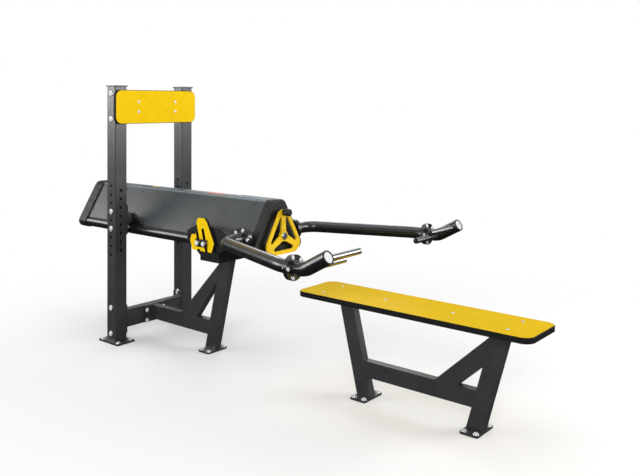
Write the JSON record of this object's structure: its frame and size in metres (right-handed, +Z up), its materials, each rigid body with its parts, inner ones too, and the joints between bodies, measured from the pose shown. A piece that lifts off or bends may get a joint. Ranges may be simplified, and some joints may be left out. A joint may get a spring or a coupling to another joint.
{
  "type": "lever bench press station",
  "caption": "Lever beam pivoted between two uprights, with a crank-set sliding weight inside, splayed arms with crosswise grips, a stand and cradle under its nose, and a flat bench.",
  "frame": {"origin": "on the floor, midway between the two uprights and centred on their foot plates", "axes": "+X along the lever beam towards the bench, +Y from the latch side to the far side, +Z up"},
  "size_m": [2.96, 1.148, 1.47],
  "materials": {
    "frame_steel": "graphite textured powder coat",
    "black_steel": "gloss black powder coat",
    "panel_steel": "satin grey powder coat",
    "black_plastic": "fine-textured moulded plastic",
    "yellow_board": "satin two-colour polyethylene sheet",
    "yellow_metal": "satin yellow powder coat",
    "bright_steel": "satin stainless steel",
    "clamp_black": "satin black",
    "bronze": "plain bearing bronze",
    "rubber": "matt rubber",
    "weight_iron": "rough cast",
    "scale_strip": "printed scale film"
  },
  "bodies": {
    "root": {"left_upright": "frame_steel", "right_upright": "frame_steel", "left_foot_plate": "frame_steel", "right_foot_plate": "frame_steel", "post_caps": "frame_steel", "upper_crossmember": "frame_steel", "lower_crossmember": "frame_steel", "header_board": "yellow_board", "stand_beam": "frame_steel", "front_leg": "frame_steel", "front_foot_plate": "frame_steel", "stand_brace": "frame_steel", "cradle": "black_steel", "cradle_bumpers": "rubber", "left_pivot_bracket": "frame_steel", "right_pivot_bracket": "frame_steel", "pivot_bushes": "bronze", "pivot_bolts": "bright_steel", "bench_seat": "yellow_board", "seat_spine": "frame_steel", "seat_lugs": "frame_steel", "bench_front_leg": "frame_steel", "bench_rear_leg": "frame_steel", "bench_feet": "frame_steel", "bench_rail": "frame_steel", "bench_brace": "frame_steel"},
    "lever": {"left_rail": "black_steel", "right_rail": "black_steel", "left_side_panel": "panel_steel", "right_side_panel": "panel_steel", "belly_panel": "panel_steel", "top_cover": "panel_steel", "load_scale": "scale_strip", "rear_end_cap": "black_plastic", "front_end_cap": "black_plastic", "rear_bulkhead": "panel_steel", "screw_bulkhead": "panel_steel", "guide_bulkhead": "panel_steel", "front_bulkhead": "panel_steel", "guide_rods": "bright_steel", "pivot_axle": "bright_steel", "pivot_cheeks": "black_steel", "arm_cross_tube": "black_steel", "left_arm": "black_steel", "right_arm": "black_steel", "left_grip_tube": "black_steel", "right_grip_tube": "black_steel", "grip_bars": "bright_steel", "grip_end_plugs": "bright_steel", "latch_housing": "black_steel", "latch_clamp": "clamp_black"},
    "carriage": {"weight_carriage": "weight_iron", "screw_nut": "bronze"},
    "crank": {"lead_screw": "bright_steel", "handwheel": "yellow_metal", "hub_cap": "bright_steel"},
    "knob": {"knob": "black_plastic"},
    "latch": {"latch_plate": "yellow_board"}
  },
  "joints": [
    {"name": "beam_lift", "type": "hinge", "parent": "root", "child": "lever", "pos_m": [0, 0, 0.697], "axis": [0, -1, 0], "range_deg": [0, 20]},
    {"name": "crank_spin", "type": "hinge", "parent": "lever", "child": "crank", "pos_m": [1.068, 0, 0.691], "axis": [-1, 0, 0], "range_deg": [0, 4320]},
    {"name": "carriage_slide", "type": "slide", "parent": "lever", "child": "carriage", "axis": [1, 0, 0], "range_m": [0, 0.48]},
    {"name": "knob_spin", "type": "hinge", "parent": "crank", "child": "knob", "pos_m": [1.1, 0, 0.812], "axis": [1, 0, 0], "continuous": true},
    {"name": "latch_slide", "type": "slide", "parent": "lever", "child": "latch", "axis": [0.2588, 0, -0.9659], "range_m": [0, 0.04]}
  ],
  "couplings": [
    {"joint": "carriage_slide", "follows": "crank_spin", "m_per_rad": 0.006366}
  ]
}
